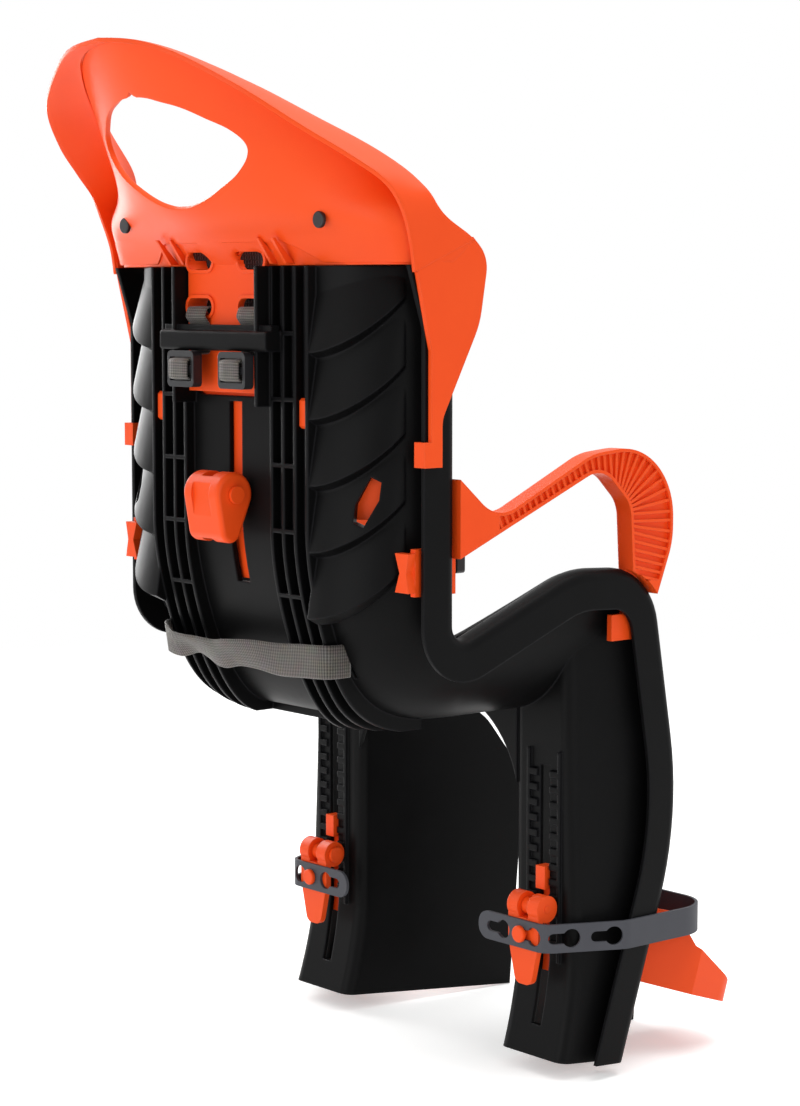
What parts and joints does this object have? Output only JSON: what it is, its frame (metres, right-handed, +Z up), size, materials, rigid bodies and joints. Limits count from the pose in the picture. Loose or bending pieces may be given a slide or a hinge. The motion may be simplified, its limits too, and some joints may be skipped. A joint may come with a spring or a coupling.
{
  "type": "child bike seat",
  "caption": "Rear child bike seat: black moulded bucket with leg guards, orange height-adjustable backrest with carry hole, arm loops and strapped footrests.",
  "frame": {"origin": "centre of the four fixing holes on the flat underside of the pan", "axes": "+X to the seated child's right, +Y forward, the way the child faces, +Z up"},
  "size_m": [0.373, 0.4812, 0.7778],
  "materials": {
    "shell": "satin moulded polypropylene",
    "orange": "satin moulded polypropylene",
    "rubber": "soft moulded rubber",
    "webbing": "ribbed woven webbing",
    "hardware": "moulded nylon",
    "button": "glossy moulded plastic",
    "foam": "fabric over foam"
  },
  "bodies": {
    "shell": {"seat_shell": "shell", "armrest_right": "orange", "armrest_left": "orange", "harness_buckle": "hardware", "crotch_strap": "webbing", "retaining_strap": "webbing", "seat_pad": "foam", "shoulder_strap_right": "webbing", "shoulder_strap_left": "webbing", "strap_lock_right": "hardware", "strap_lock_left": "hardware", "buckle_tongue_right": "hardware", "buckle_tongue_left": "hardware"},
    "backrest": {"backrest": "orange", "back_pad": "foam", "pad_stud_right": "hardware", "pad_stud_left": "hardware", "back_pin": "orange"},
    "back_lever": {"back_lever": "orange"},
    "buckle_button": {"buckle_button": "button"},
    "footrest_right": {"footrest_right": "orange", "foot_pin_right": "orange", "foot_strap_right": "rubber"},
    "foot_lever_right": {"foot_lever_right": "orange"},
    "footrest_left": {"footrest_left": "orange", "foot_pin_left": "orange", "foot_strap_left": "rubber"},
    "foot_lever_left": {"foot_lever_left": "orange"}
  },
  "joints": [
    {"name": "backrest_slide", "type": "slide", "parent": "shell", "child": "backrest", "axis": [0, 0, 1], "range_m": [0, 0.06], "deforming": ["shoulder_strap_right", "shoulder_strap_left"]},
    {"name": "back_lever_hinge", "type": "hinge", "parent": "backrest", "child": "back_lever", "pos_m": [0, -0.137, 0.178], "axis": [-1, 0, 0], "range_deg": [0, 80]},
    {"name": "button_press", "type": "slide", "parent": "shell", "child": "buckle_button", "axis": [0, -1, 0], "range_m": [0, 0.0025], "stiffness_N_per_m": 600, "springref_m": -0.002},
    {"name": "footrest_slide_right", "type": "slide", "parent": "shell", "child": "footrest_right", "axis": [0, 0, 1], "range_m": [-0.02, 0.075]},
    {"name": "foot_lever_hinge_right", "type": "hinge", "parent": "footrest_right", "child": "foot_lever_right", "pos_m": [0.13, 0.0635, -0.142], "axis": [-1, 0, 0], "range_deg": [0, 90], "deforming": ["foot_strap_right"]},
    {"name": "footrest_slide_left", "type": "slide", "parent": "shell", "child": "footrest_left", "axis": [0, 0, 1], "range_m": [-0.02, 0.075]},
    {"name": "foot_lever_hinge_left", "type": "hinge", "parent": "footrest_left", "child": "foot_lever_left", "pos_m": [-0.13, 0.0635, -0.142], "axis": [-1, 0, 0], "range_deg": [0, 90], "deforming": ["foot_strap_left"]}
  ]
}
